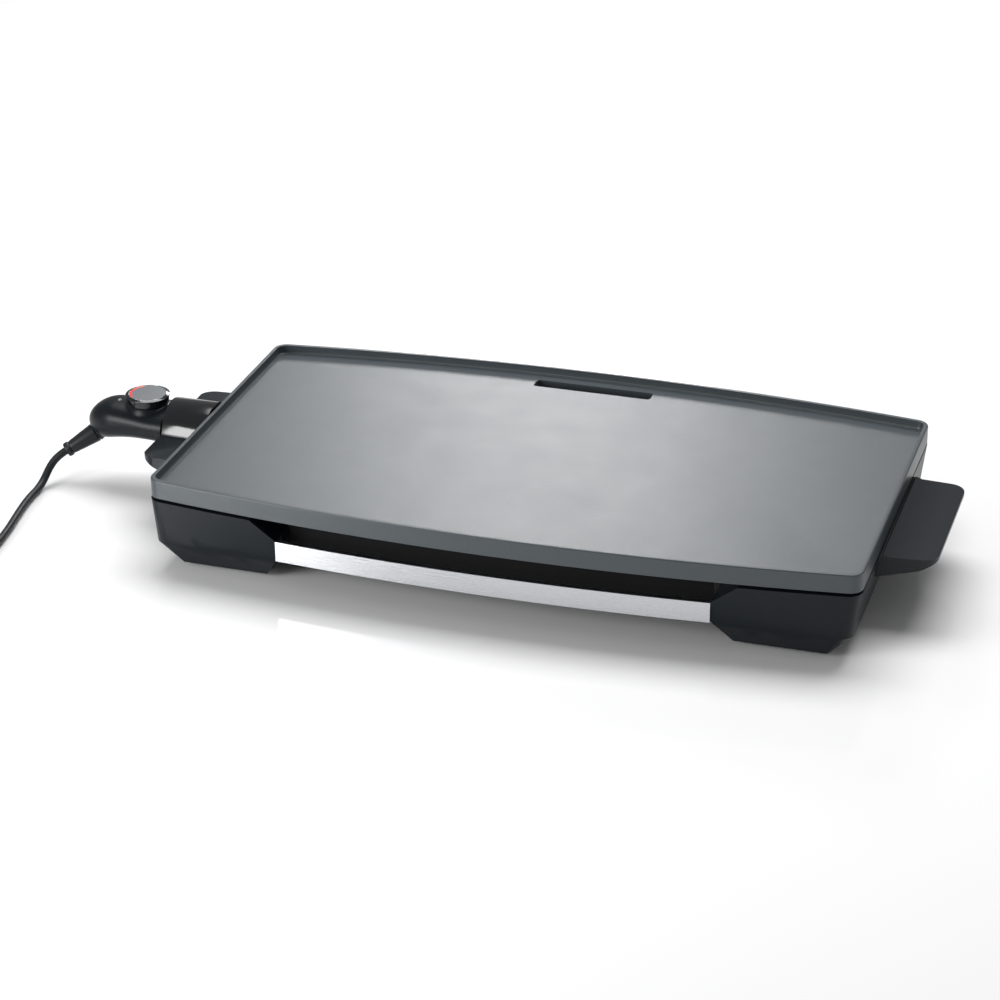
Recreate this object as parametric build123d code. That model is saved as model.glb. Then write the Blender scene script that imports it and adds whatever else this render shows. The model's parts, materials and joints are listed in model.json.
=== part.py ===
"""Electric table griddle: cast heating plate on two end frames, with a plug-in thermostat control.

Millimetres, +Z up, standing on z = 0. The long side runs along X, the control plugs in at -X,
the front is -Y. Shapes are drawn about the middle of the plate and shifted on export, so that
the origin is at the bottom centre of the whole griddle with its control, without the cord.
"""
from build123d import *
import math
import os

# ---------------------------------------------------------------- driving dimensions
PLATE_LENGTH = 560.0        # outside the rim, end to end
PLATE_WIDTH = 277.0         # outside the rim, at the corners
SIDE_BOW = 20.0             # how far each long side swells out at its middle
CORNER_RADIUS = 11.0
RIM_TOP = 74.5              # height of the rim above the table
RIM_HEIGHT = 15.0           # outside height of the casting
PAN_DEPTH = 7.2             # rim down to the cooking surface
RIM_WALL = 3.5
FLOOR_THICKNESS = 4.8
GREASE_SLOT = (100.0, 13.0)
GREASE_SLOT_Y = 137.0       # middle of the slot, just inside the rear rim

FRAME_TOP = 57.5            # 2 mm below the plate
FRAME_WAIST = 22.5          # where the skirt turns in under the frame
FRAME_BOTTOM = 3.5
FRAME_WALL = 2.5
CROWN_INSET = (0.0, -1.5)   # how far the skirt stands in from the plate's outline, along X and Y
WAIST_INSET = (4.5, -3.5)
SOLE_INSET = (22.9, 5.5)
WAIST_BOW = 7.0             # the skirt's front is nearly flat lower down
SOLE_BOW = 1.0
UPSTAND_TOP = 60.5          # lip of the skirt, hidden inside the plate's own rim
OPENING_HALF = 171.0        # half the span between the end frames at strip height
OPENING_LOW = 25.0          # the opening's sides stand upright between these two heights
OPENING_HIGH = 42.0
STRIP_BOTTOM = 25.0
STRIP_TOP = 41.6
STRIP_GAUGE = 1.0
STRIP_DEPTH = 5.5           # depth of the strip's turned-in edges

ELEMENT_DIAMETER = 8.0
ELEMENT_Z = 59.4
PIN_SPACING = 28.0
PIN_DIAMETER = 5.0
PROBE_DIAMETER = 5.0
PROBE_Z = 55.0
FIT = 0.08                  # radial clearance of the plug-in fits

SHROUD_RADIUS = 27.0
SHROUD_AXIS_Z = 50.2
SHROUD_END = -318.5

KNOB_X = -339.7
KNOB_RADIUS = 18.4
KNOB_BOTTOM = 72.8
KNOB_TOP = 80.3

GRIP_TOP = 56.5
GRIP_END = 322.5
GRIP_HALF_WIDTH = 68.5
LEFT_GRIP_SHIFT = 3.5       # the left grips stick out this much less

CORD_DIAMETER = 6.5
COIL_CENTRE = (-452.25, -204.0)
COIL_RADIUS = 36.25         # middle of the turns
COIL_COLUMNS = 3            # turns side by side
COIL_LAYERS = 2             # and on top of each other
TIE_GAUGE = 1.0

CONTROL_TIP = -392.5
CENTRE_SHIFT = -(GRIP_END + CONTROL_TIP) / 2

# ---------------------------------------------------------------- derived levels
PLATE_BOTTOM = RIM_TOP - RIM_HEIGHT
SURFACE = RIM_TOP - PAN_DEPTH
UNDERSIDE = SURFACE - FLOOR_THICKNESS
BOSS_FACE = 57.0            # where the plate bosses meet the frame posts
SHIELD_Z = 46.0

os.makedirs("parts", exist_ok=True)


# ---------------------------------------------------------------- drawing helpers
def box(x0, x1, y0, y1, z0, z1):
    size = Box(x1 - x0, y1 - y0, z1 - z0, align=(Align.MIN, Align.MIN, Align.MIN))
    return Pos(x0, y0, z0) * size


def across(side, x0, x1, y0, y1, z0, z1):
    """Box on the right (side 1) or mirrored to the left (side -1)."""
    return box(min(side * x0, side * x1), max(side * x0, side * x1), y0, y1, z0, z1)


def rod_z(x, y, radius, z0, z1):
    return Pos(x, y, z0) * Cylinder(radius, z1 - z0, align=(Align.CENTER, Align.CENTER, Align.MIN))


def rod_x(y, z, radius, x0, x1):
    return extrude(Plane.YZ.offset(x0) * Pos(y, z) * Circle(radius), x1 - x0)


def rod_y(x, z, radius, y0, y1):
    """Round bar along Y, between two distances from the front to the rear."""
    return extrude(Plane.XZ.offset(-y0) * Pos(x, z) * Circle(radius), -(y1 - y0))


def prism_y(points, y0, y1):
    """Outline in X and Z, carried along Y."""
    return extrude(Plane.XZ.offset(-y0) * make_face(Polyline(*points, close=True)), -(y1 - y0))


def prism_x(points, x0, x1):
    """Outline in Y and Z, carried along X."""
    return extrude(Plane.YZ.offset(x0) * make_face(Polyline(*points, close=True)), x1 - x0)


def plan_face(inset_x, inset_y, z, bow=SIDE_BOW):
    """The griddle's bowed plan with its rounded corners, drawn smaller by an inset."""
    a = PLATE_LENGTH / 2 - inset_x
    b = PLATE_WIDTH / 2 - inset_y
    rear = ThreePointArc((-a, b), (0, b + bow), (a, b))
    front = ThreePointArc((-a, -b), (0, -b - bow), (a, -b))
    face = make_face([rear, front, Line((-a, -b), (-a, b)), Line((a, -b), (a, b))])
    radius = max(CORNER_RADIUS - (inset_x + inset_y) / 2, 3.0)
    return Pos(0, 0, z) * fillet(face.vertices(), radius)


def plan_slab(inset, z0, z1):
    return extrude(plan_face(inset, inset, z0), z1 - z0)


def plan_ring(inset0, inset1, z0, z1):
    return plan_slab(inset0, z0, z1) - plan_slab(inset1, z0, z1)


def between(first, last, share):
    return first + (last - first) * share


def hull(thickness, bottom, top):
    """The end frames' outer form: a skirt that leans in, then tucks under to the bottom."""
    def level(inset, bow, share, z):
        inset_x, inset_y = [between(a, b, share) + thickness for a, b in zip(WAIST_INSET, inset)]
        return plan_face(inset_x, inset_y, z, between(WAIST_BOW, bow, share))
    waist = level(WAIST_INSET, WAIST_BOW, 0, FRAME_WAIST)
    crown = level(CROWN_INSET, SIDE_BOW, (top - FRAME_WAIST) / (FRAME_TOP - FRAME_WAIST), top)
    sole = level(SOLE_INSET, SOLE_BOW, (FRAME_WAIST - bottom) / (FRAME_WAIST - FRAME_BOTTOM), bottom)
    return loft([waist, crown], ruled=True) + loft([sole, waist], ruled=True)


def opening_outline(margin):
    """The space between the end frames, seen from the front, drawn wider by a margin."""
    half = OPENING_HALF + margin
    right = [(half + 21.3, FRAME_TOP + 1), (half, OPENING_HIGH)]
    right += [(half, OPENING_LOW), (half + 15, FRAME_BOTTOM - 1)]
    return right + [(-x, z) for x, z in reversed(right)]


def along(shapes):
    return Compound(children=list(shapes))


def screw_z(x, y, head_radius, radius, z_head, z_seat, z_tip):
    """Pan-head screw pointing up, with a crossed recess in its head."""
    head = rod_z(x, y, head_radius, z_head, z_seat)
    slots = box(x - 1.8, x + 1.8, y - 0.4, y + 0.4, z_head, z_head + 1.0)
    slots += box(x - 0.4, x + 0.4, y - 1.8, y + 1.8, z_head, z_head + 1.0)
    return head + rod_z(x, y, radius, z_seat, z_tip) - slots


def screw_x(y, z, head_radius, radius, x_head, x_seat, x_tip):
    """Pan-head screw along X, pointing from its head towards its tip."""
    head = rod_x(y, z, head_radius, min(x_head, x_seat), max(x_head, x_seat))
    shank = rod_x(y, z, radius, min(x_seat, x_tip), max(x_seat, x_tip))
    return head + shank


NODES = {}


def node(name, shape):
    NODES[name] = shape


# ---------------------------------------------------------------- heating plate
POSTS = [(sx * 228.0, sy * 112.0) for sx in (-1, 1) for sy in (-1, 1)]
ELEMENT_END = -262.0
element_line = FilletPolyline(
    (ELEMENT_END, 14), (-215, 14), (-215, 80), (225, 80), (225, -80), (-215, -80), (-215, -14),
    (ELEMENT_END, -14), radius=[18, 30, 30, 30, 30, 18])


def griddle_plate():
    outside = plan_slab(0, PLATE_BOTTOM, RIM_TOP)
    outside = fillet(outside.faces().sort_by(Axis.Z)[-1].edges(), 1.2)
    pan = plan_slab(RIM_WALL, SURFACE, RIM_TOP)
    pan = fillet(pan.faces().sort_by(Axis.Z)[0].edges(), 2.0)
    plate = outside - pan - plan_slab(RIM_WALL, PLATE_BOTTOM, UNDERSIDE)

    ridge = extrude(Pos(0, 0, 56.5) * trace(element_line, 16), UNDERSIDE - 56.5)
    groove = extrude(Pos(0, 0, 56.5) * trace(element_line, ELEMENT_DIAMETER + 0.2), 7.0)
    groove += box(-263, -262, -18.1, -9.9, 56.5, 63.5) + box(-263, -262, 9.9, 18.1, 56.5, 63.5)
    for x, y in POSTS:
        ridge += rod_z(x, y, 6.5, BOSS_FACE, UNDERSIDE)
        groove += rod_z(x, y, 2.05, BOSS_FACE, UNDERSIDE)
    probe_boss = box(-266, -196, -8, 8, 50, UNDERSIDE)
    socket_lug = box(-280, -274, -22, 22, 41, 52) + box(-280, -266, -8, 8, 50, 52)
    for side in (-1, 1):
        socket_lug += Pos(-271.5, side * 20.5, 51.8) * Box(17, 3, 21.6)

    slot_length, slot_width = GREASE_SLOT
    spout = box(-slot_length / 2 - 4, slot_length / 2 + 4, GREASE_SLOT_Y - slot_width / 2 - 4,
                GREASE_SLOT_Y + slot_width / 2 + 4, 53, UNDERSIDE)
    slot = extrude(Pos(0, GREASE_SLOT_Y, 52) * RectangleRounded(slot_length, slot_width, 3), 20)

    notch = box(-281, -274, -19, 19, 52, 65.5)
    probe_bore = rod_x(0, PROBE_Z, PROBE_DIAMETER / 2 + FIT, -267, -197)
    lug_holes = rod_x(-15, 45.5, 1.55, -281, -274) + rod_x(15, 45.5, 1.55, -281, -274)
    return plate + ridge + probe_boss + socket_lug + spout - groove - notch - slot - probe_bore - lug_holes


node("griddle_plate", griddle_plate())
node("heating_element", sweep(Pos(0, 0, ELEMENT_Z) * (Plane(element_line @ 0, z_dir=element_line % 0)
     * Circle(ELEMENT_DIAMETER / 2)), path=Pos(0, 0, ELEMENT_Z) * element_line))

PINS = [PIN_SPACING / 2, -PIN_SPACING / 2]
node("terminal_pins", along(rod_x(y, ELEMENT_Z, PIN_DIAMETER / 2, -304, ELEMENT_END) for y in PINS))


def insulator(y):
    """Stepped ceramic bead round one terminal pin."""
    bead = rod_x(y, ELEMENT_Z, 4.4, -286, -278) + rod_x(y, ELEMENT_Z, 4.9, -278, -275)
    return bead - rod_x(y, ELEMENT_Z, PIN_DIAMETER / 2 + 0.02, -287, -274)


node("terminal_insulators", along(insulator(y) for y in PINS))


# ---------------------------------------------------------------- end frames
OUTSIDE = hull(0, FRAME_BOTTOM, FRAME_TOP)
INSIDE = hull(FRAME_WALL, FRAME_BOTTOM + FRAME_WALL, FRAME_TOP + 0.5)
FEET = [(sx * 240.0, sy * 92.0) for sx in (-1, 1) for sy in (-1, 1)]
SHIELD_POSTS = [(sx * 205.0, sy * 85.0) for sx in (-1, 1) for sy in (-1, 1)]
GRIP_SCREWS = (-46.0, 46.0)
TRIM_SCREW_Y = 142.0
TRIM_SCREW_Z = 33.5


def end_frame(side):
    """Moulded skirt across one end, with its floor, return walls, posts and screw pads."""
    span = prism_y(opening_outline(0), -170, 170)
    wide = prism_y(opening_outline(FRAME_WALL), -170, 170)
    half = across(side, 150, 300, -170, 170, 0, 70)
    shell = (OUTSIDE - INSIDE - span) & half
    returns = (INSIDE & wide) - span - box(-300, 300, -105, 105, 0, 70)
    shell += returns & half & box(-300, 300, -170, 170, 0, FRAME_TOP)
    upstand = plan_ring(1.0, 7.0, FRAME_TOP - 3, FRAME_TOP) + plan_ring(5.0, 7.0, FRAME_TOP, UPSTAND_TOP)
    shell += upstand & across(side, 193, 300, -170, 170, 50, 70)
    for x, y in POSTS:
        if x * side > 0:
            shell += rod_z(x, y, 6.5, FRAME_BOTTOM, BOSS_FACE)
            shell -= rod_z(x, y, 4.2, FRAME_BOTTOM - 1, 48) + rod_z(x, y, 2.2, 48, BOSS_FACE + 1)
    for x, y in SHIELD_POSTS:
        if x * side > 0:
            shell += rod_z(x, y, 4.5, FRAME_BOTTOM + 1, SHIELD_Z) - rod_z(x, y, 1.5, 34, SHIELD_Z + 1)
            shell -= rod_z(x, y, 1.5, 34, SHIELD_Z + 1)
    for x, y in FEET:
        if x * side > 0:
            shell -= rod_z(x, y, 3.05, FRAME_BOTTOM - 1, 9)
    for y in GRIP_SCREWS:
        shell += across(side, 270, 285, y - 6, y + 6, 39, 51) & INSIDE
        shell -= rod_x(y, 45, 2.2, min(side * 265, side * 300), max(side * 265, side * 300))
    for y in (-TRIM_SCREW_Y, TRIM_SCREW_Y):
        shell -= rod_x(y, TRIM_SCREW_Z, 1.6, min(side * 165, side * 178), max(side * 165, side * 178))
    if side < 0:
        shell -= box(-300, -265, -28.5, 28.5, 38, UPSTAND_TOP + 1)
    return shell


node("left_end_frame", end_frame(-1))
node("right_end_frame", end_frame(1))


# ---------------------------------------------------------------- carrying grips
def grip_form():
    """Flat-topped tab for the right end: rounded outer corners, underside rising outwards."""
    profile = prism_y([(270, 57.4), (281.6, 57.4), (282.4, 58.0), (287.3, GRIP_TOP), (GRIP_END - 0.8, GRIP_TOP),
                       (GRIP_END, GRIP_TOP - 0.8), (GRIP_END, 53.2), (309, 46.9), (277, 38.7), (270, 38.7)], -80, 80)
    plan = make_face(Polyline((260, -GRIP_HALF_WIDTH - 2.5), (GRIP_END, -GRIP_HALF_WIDTH + 2),
                              (GRIP_END, GRIP_HALF_WIDTH - 2), (260, GRIP_HALF_WIDTH + 2.5), close=True))
    plan = fillet(plan.vertices().group_by(Axis.X)[-1], 13)
    form = (profile & extrude(Pos(0, 0, 30) * plan, 40)) - OUTSIDE
    return form & box(277, 330, -80, 80, 30, 60)


def grip_screw_holes(side):
    holes = None
    for y in GRIP_SCREWS:
        hole = rod_x(y, 45, 1.95, min(side * 275, side * 296), max(side * 275, side * 296))
        holes = hole if holes is None else holes + hole
    return holes


right_form = grip_form()
left_form = Pos(LEFT_GRIP_SHIFT, 0, 0) * mirror(right_form, Plane.YZ) - OUTSIDE - grip_screw_holes(-1)
node("right_grip", right_form - grip_screw_holes(1))
node("left_grip_front", left_form & box(-330, -270, -80, -SHROUD_RADIUS - 0.5, 30, 60))
node("left_grip_rear", left_form & box(-330, -270, SHROUD_RADIUS + 0.5, 80, 30, 60))


# ---------------------------------------------------------------- steel strips
def trim_strip(side):
    """Brushed channel bowed like the plate, with an end plate turned in at each end."""
    web = plan_ring(1.0, 1.0 + STRIP_GAUGE, STRIP_BOTTOM, STRIP_TOP)
    flanges = plan_ring(1.0, STRIP_DEPTH, STRIP_BOTTOM, STRIP_BOTTOM + STRIP_GAUGE)
    flanges += plan_ring(1.0, STRIP_DEPTH, STRIP_TOP - STRIP_GAUGE, STRIP_TOP)
    ends = plan_ring(1.5, 12.0, STRIP_BOTTOM, STRIP_TOP)
    ends &= box(-171, -169.8, -170, 170, 0, 70) + box(169.8, 171, -170, 170, 0, 70)
    ends -= rod_x(side * TRIM_SCREW_Y, TRIM_SCREW_Z, 1.6, -172, 172)
    return (web + flanges + ends) & box(-171, 171, min(0, side * 170), max(0, side * 170), 0, 70)


node("front_trim_strip", trim_strip(-1))
node("rear_trim_strip", trim_strip(1))


# ---------------------------------------------------------------- heat shield and drip tray
RAIL_X = 67.0
APRON_Y = 126.0             # sheet walls behind the strips, clear of the tray below them
APRON_HALF = 168.0
APRON_BOTTOM = 24.5


def heat_shield():
    """Sheet pan under the element, with bays between the frames that close the view behind the strips."""
    pan = box(-245, 245, -104, 104, SHIELD_Z, SHIELD_Z + 3.5)
    pan -= box(-244, 244, -103, 103, SHIELD_Z + 1, SHIELD_Z + 4)
    for x, y in SHIELD_POSTS:
        pan -= rod_z(x, y, 1.7, SHIELD_Z - 1, SHIELD_Z + 2)
    for x in (-205.0, 0.0, 205.0):
        pan += box(x - 30, x + 30, -2, 2, SHIELD_Z + 1, SHIELD_Z + 2)
    for y0, y1, edge in ((-APRON_Y, -103.5, -APRON_Y), (103.5, APRON_Y, APRON_Y - 1)):
        pan += box(-APRON_HALF, APRON_HALF, y0, y1, SHIELD_Z, SHIELD_Z + 1)
        pan += box(-APRON_HALF, APRON_HALF, edge, edge + 1, APRON_BOTTOM, SHIELD_Z + 1)
    return pan


def tray_rail(side):
    """Folded rail: flange riveted under the shield, web, and a lip for the tray to ride on."""
    def strip(x0, x1, z0, z1):
        return box(min(side * x0, side * x1), max(side * x0, side * x1), 15, 104, z0, z1)
    rail = strip(RAIL_X, RAIL_X + 1.2, 19.4, SHIELD_Z) + strip(RAIL_X, 78, SHIELD_Z - 1.2, SHIELD_Z)
    return rail + strip(60.3, RAIL_X + 1.2, 19.4, 20.6)


def drip_tray():
    """Pressed tray under the slot, with side flanges that ride on the rails and a finger lip."""
    tray = extrude(Pos(0, 85, 6) * RectangleRounded(118, 130, 6), 16.2)
    tray += box(-66.5, 66.5, 22, 150, 21.0, 22.2)
    lip = extrude(Pos(0, 151, 21.0) * RectangleRounded(60, 14, 5), 1.2)
    hollow = extrude(Pos(0, 85, 7.5) * RectangleRounded(115, 127, 4.5), 20)
    return tray + lip - hollow


node("heat_shield", heat_shield())
node("left_tray_rail", tray_rail(-1))
node("right_tray_rail", tray_rail(1))
node("drip_tray", drip_tray())


def rubber_foot(x, y):
    """Soft foot with a stem that plugs into the frame's floor."""
    pad = rod_z(x, y, 8, 0, FRAME_BOTTOM)
    pad = chamfer(pad.faces().sort_by(Axis.Z)[0].edges(), 1.0)
    return pad + rod_z(x, y, 3.0, FRAME_BOTTOM, 8.5)


for place, (x, y) in zip(("left_front", "left_rear", "right_front", "right_rear"), FEET):
    node("foot_" + place, rubber_foot(x, y))


# ---------------------------------------------------------------- socket for the control
def shroud_outline(radius, bottom):
    """Arched section: half round on top with straight sides."""
    arch = ThreePointArc((-radius, SHROUD_AXIS_Z), (0, SHROUD_AXIS_Z + radius), (radius, SHROUD_AXIS_Z))
    legs = Polyline((radius, SHROUD_AXIS_Z), (radius, bottom), (-radius, bottom), (-radius, SHROUD_AXIS_Z))
    return make_face([arch, *legs.edges()])


def socket_shroud():
    """Glossy arched hood over the terminal pins, closed by a wall against the plate."""
    hood = extrude(Plane.YZ.offset(SHROUD_END) * shroud_outline(SHROUD_RADIUS, 39), -280.6 - SHROUD_END)
    hollow = extrude(Plane.YZ.offset(SHROUD_END - 1) * shroud_outline(SHROUD_RADIUS - 2.4, 41.4),
                     -282.6 - SHROUD_END + 1)
    shroud = hood - hollow
    for y in PINS:
        shroud -= rod_x(y, ELEMENT_Z, 4.7, -284, -280)
    for y in (-15, 15):
        shroud -= rod_x(y, 45.5, 1.7, -284, -280)
    return shroud - rod_x(0, PROBE_Z, 3.4, -284, -280)


def socket_plate():
    """Steel plate that holds the insulators against the hood's end wall."""
    plate = box(-284.1, -282.6, -19.5, 19.5, 42, 64.5)
    for y in PINS:
        plate -= rod_x(y, ELEMENT_Z, 4.45, -285, -282)
    for y in (-15, 15):
        plate -= rod_x(y, 45.5, 1.7, -285, -282)
    return plate - rod_x(0, PROBE_Z, 3.4, -285, -282)


node("socket_shroud", socket_shroud())
node("socket_plate", socket_plate())

# ---------------------------------------------------------------- fasteners of the base
node("plate_screws", along(screw_z(x, y, 3.6, 2.0, 45.5, 48, 61.5) for x, y in POSTS))
node("shield_screws", along(Pos(x, y, SHIELD_Z + 1) * Rot(180, 0, 0) * screw_z(0, 0, 2.8, 1.45, -1.8, 0, 11)
                            for x, y in SHIELD_POSTS))
node("grip_screws", along(screw_x(y, 45, 3.5, 1.9, side * 267.5, side * 270, side * 294)
                          for side in (-1, 1) for y in GRIP_SCREWS))
node("trim_screws", along(screw_x(y, TRIM_SCREW_Z, 2.8, 1.5, side * 175.7, side * 173.5, side * 166)
                          for side in (-1, 1) for y in (-TRIM_SCREW_Y, TRIM_SCREW_Y)))
node("socket_screws", along(screw_x(y, 45.5, 2.7, 1.5, -286.1, -284.1, -275) for y in (-15, 15)))
RIVETS = [(side * 73.0, y) for side in (-1, 1) for y in (30.0, 90.0)]


def rivet(x, y):
    """Blind rivet through the shield and a rail's flange."""
    shank = rod_z(x, y, 1.5, 44, SHIELD_Z + 1)
    return shank + rod_z(x, y, 2.6, SHIELD_Z + 1, SHIELD_Z + 2) + rod_z(x, y, 2.6, 43, SHIELD_Z - 1.2)


node("rail_rivets", along(rivet(x, y) for x, y in RIVETS))
for name in ("heat_shield", "left_tray_rail", "right_tray_rail"):
    for x, y in RIVETS:
        NODES[name] -= rod_z(x, y, 1.5, 40, 50)

# ---------------------------------------------------------------- plug-in control
SPLIT_Z = 50.0
SCREW_SEAT_Z = 47.2
LAMP = (-364.1, -2.0)
CONTROL_SCREWS = [(-352.0, 12.5), (-352.0, -12.5)]
CONTROL_SIDE = [(-319, 71.0), (-366, 72.0), (-383, 67.0), (CONTROL_TIP, 54.0), (-391, 42.0), (-381, 36.5),
                (-366, 41.0), (-350, 43.0), (-319, 43.0)]
CONTROL_PLAN = [(-319, -26), (-345, -24.5), (-366, -20), (-384, -14), (-392.5, -6), (-392.5, 6), (-384, 14),
                (-366, 20), (-345, 24.5), (-319, 26)]


def control_form(inset):
    """Waisted housing: the overlap of its side view, its plan and an arched section."""
    side = offset(make_face(Polyline(*CONTROL_SIDE, close=True)), -inset, kind=Kind.INTERSECTION)
    plan = offset(make_face(Polyline(*CONTROL_PLAN, close=True)), -inset, kind=Kind.INTERSECTION)
    form = extrude(Plane.XZ * side, 40, both=True) & extrude(plan, 100)
    section = Plane.YZ.offset(-400) * shroud_outline(26.2 - inset, 30)
    return form & extrude(section, 100)


RELIEF_BASE = Vector(-385.2, -3.0, 41.4)
RELIEF_TIP = Vector(-408.2, -18.1, 27.0)
RELIEF_LINE = RELIEF_TIP - RELIEF_BASE
RELIEF_DIR = RELIEF_LINE.normalized()


def relief_section(distance, radius):
    return Plane(RELIEF_BASE + RELIEF_DIR * distance, z_dir=RELIEF_DIR) * Circle(radius)


def relief_tool(radius, start, end):
    """Round bar along the cord's way out of the housing."""
    return extrude(relief_section(start, radius), end - start)


def cable_relief():
    """Tapered rubber sleeve with a collar in the housing, a base ring and a rolled lip at its tip."""
    length = RELIEF_LINE.length
    sleeve = loft([relief_section(0, 8.0), relief_section(length - 3, 5.4)], ruled=True)
    sleeve += relief_tool(6.2, length - 4.5, length)
    collar = relief_tool(7.4, -8.5, -5.5) & HOLLOW
    return sleeve - CONTROL + relief_tool(5.4, -6, 3) + collar


CONTROL = control_form(0)
HOLLOW = control_form(2.0)
COLLAR_SEAT = 70.2


def control_shell(upper):
    """Half of the housing, with screw posts, the cord's way out and the block's mouth."""
    band = box(-400, -318, -40, 40, SPLIT_Z, 90) if upper else box(-400, -318, -40, 40, 20, SPLIT_Z)
    walls = (CONTROL - HOLLOW) & band
    for x, y in CONTROL_SCREWS:
        if upper:
            walls += (rod_z(x, y, 3.2, SPLIT_Z, 75) & CONTROL) - rod_z(x, y, 1.25, SPLIT_Z - 1, SPLIT_Z + 7)
        else:
            walls += (rod_z(x, y, 3.2, 30, SPLIT_Z) & CONTROL)
            walls -= rod_z(x, y, 1.45, 30, SPLIT_Z + 1) + rod_z(x, y, 2.7, 30, SCREW_SEAT_Z)
    walls -= relief_tool(5.5, -9, 4)
    walls -= box(-322, -317, -19.1, 19.1, 46.9, 64.6)
    if upper:
        walls -= rod_z(KNOB_X, 0, 4.1, 60, 80) + rod_z(*LAMP, 1.8, 60, 80)
    return walls


node("control_lower_shell", control_shell(False))
node("control_upper_shell", control_shell(True))
node("control_screws", along(screw_z(x, y, 2.5, 1.2, 45.2, SCREW_SEAT_Z, SPLIT_Z + 6.5) for x, y in CONTROL_SCREWS))
node("cable_relief", cable_relief())


def contact_block():
    """Moulded block that reaches into the hood and carries the two sleeves and the probe."""
    nose = box(-323.5, -291, -19, 19, 47, 64.5)
    for y in PINS:
        nose -= rod_x(y, ELEMENT_Z, 4.2, -320, -290) + rod_x(y, ELEMENT_Z, 2.0, -324, -320)
    return nose - rod_x(0, PROBE_Z, PROBE_DIAMETER / 2 + 0.02, -325, -290)


def contact_sleeve(y):
    """Split brass sleeve that takes one terminal pin."""
    sleeve = rod_x(y, ELEMENT_Z, 4.15, -317, -292) - rod_x(y, ELEMENT_Z, PIN_DIAMETER / 2 + FIT, -313, -291)
    return sleeve + rod_x(y, ELEMENT_Z, 1.95, -326, -317) - box(-309, -291, y - 0.3, y + 0.3, 62, 65)


node("contact_block", contact_block())
node("contact_sleeves", along(contact_sleeve(y) for y in PINS))
node("probe_rod", rod_x(0, PROBE_Z, PROBE_DIAMETER / 2, -331, -201) + Pos(-201, 0, PROBE_Z)
     * Sphere(PROBE_DIAMETER / 2))

STACK_X = -362.0


def thermostat_bracket():
    """Bent steel bracket that ties the probe to the switch stack."""
    bracket = box(-372, -328, -8, 8, 46.5, 47.7) + box(-329.2, -328, -8, 8, 46.5, 60)
    bracket += box(-366, -358, -6, 6, 47.7, 49)
    return bracket - rod_x(0, PROBE_Z, PROBE_DIAMETER / 2 + 0.02, -332, -325)


def switch_blade(z, reach):
    blade = box(STACK_X - 4, reach, -3, 3, z, z + 0.5)
    return blade + rod_z(reach - 4, 0, 1.6, z + 0.5, z + 1.1)


node("thermostat_bracket", thermostat_bracket())
node("switch_blades", along((switch_blade(51.0, -338.0), switch_blade(55.0, -345.0))))
node("stack_insulators", along(box(STACK_X - 4, STACK_X + 4, -4, 4, z0, z1)
                               for z0, z1 in ((49, 51), (51.5, 55), (55.5, 58))))
node("pilot_lamp", rod_z(*LAMP, 2.2, 59.5, 68.0))
node("pilot_lens", rod_z(*LAMP, 1.75, 68.0, 72.6))


# ---------------------------------------------------------------- temperature knob
def knob_collar():
    """Raised neck under the knob, with the spindle's bush through the housing."""
    neck = loft([Pos(KNOB_X, 0, COLLAR_SEAT) * Circle(17.0), Pos(KNOB_X, 0, KNOB_BOTTOM - 0.4) * Circle(15.4)])
    neck = neck - CONTROL
    neck += rod_z(KNOB_X, 0, 4.0, 64, KNOB_BOTTOM - 0.4)
    return neck - rod_z(KNOB_X, 0, 3.0 + FIT, 60, 80)


def temperature_knob():
    """Turned cap with a chamfered crown, a dished seat for the dial and a flatted bore."""
    cap = rod_z(KNOB_X, 0, KNOB_RADIUS, KNOB_BOTTOM, KNOB_TOP)
    cap = chamfer(cap.faces().sort_by(Axis.Z)[-1].edges(), 1.0)
    cap -= rod_z(KNOB_X, 0, KNOB_RADIUS - 1.8, KNOB_TOP - 0.8, KNOB_TOP + 1)
    cap -= rod_z(KNOB_X, 0, KNOB_RADIUS - 2.0, KNOB_BOTTOM - 1, KNOB_BOTTOM + 2.6)
    cap += rod_z(KNOB_X, 0, 5.0, KNOB_BOTTOM, KNOB_TOP - 1.5)
    return cap - spindle_form(0.02)


def spindle_form(clearance):
    """Shaft with one flat where the knob grips it."""
    shaft = rod_z(KNOB_X, 0, 3.0 + clearance, 54.2, 78.4)
    flat = box(KNOB_X - 5, KNOB_X + 5, 2.0 + clearance, 5, KNOB_BOTTOM, 80)
    return shaft - flat


node("knob_collar", knob_collar())
node("temperature_knob", temperature_knob())
node("knob_spindle", spindle_form(0))
node("knob_dial", rod_z(KNOB_X, 0, KNOB_RADIUS - 1.9, KNOB_TOP - 0.8, KNOB_TOP - 0.1))

# ---------------------------------------------------------------- mains lead
FLOOR_Z = CORD_DIAMETER / 2
coil_outer = COIL_RADIUS + COIL_COLUMNS * CORD_DIAMETER / 2
coil_inner = COIL_RADIUS - COIL_COLUMNS * CORD_DIAMETER / 2
coil_top = TIE_GAUGE + COIL_LAYERS * CORD_DIAMETER
outer_turn = coil_outer - CORD_DIAMETER / 2
top_turn_z = coil_top - CORD_DIAMETER / 2

LEAD_START = RELIEF_TIP + RELIEF_DIR * 7.1
LEAD_ROUTE = [
    (RELIEF_TIP.X, RELIEF_TIP.Y, RELIEF_TIP.Z),
    (LEAD_START.X, LEAD_START.Y, LEAD_START.Z),
    (-419.2, -27.1, 16.4),
    (-422.0, -41.3, FLOOR_Z),
    (-421.7, -66.9, FLOOR_Z),
    (-417.5, -95.0, FLOOR_Z),
    (-411.5, -129.0, FLOOR_Z),
    (-408.8, -167.0, FLOOR_Z + 0.5),
    (COIL_CENTRE[0] + outer_turn, COIL_CENTRE[1], FLOOR_Z + TIE_GAUGE),
]

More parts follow.
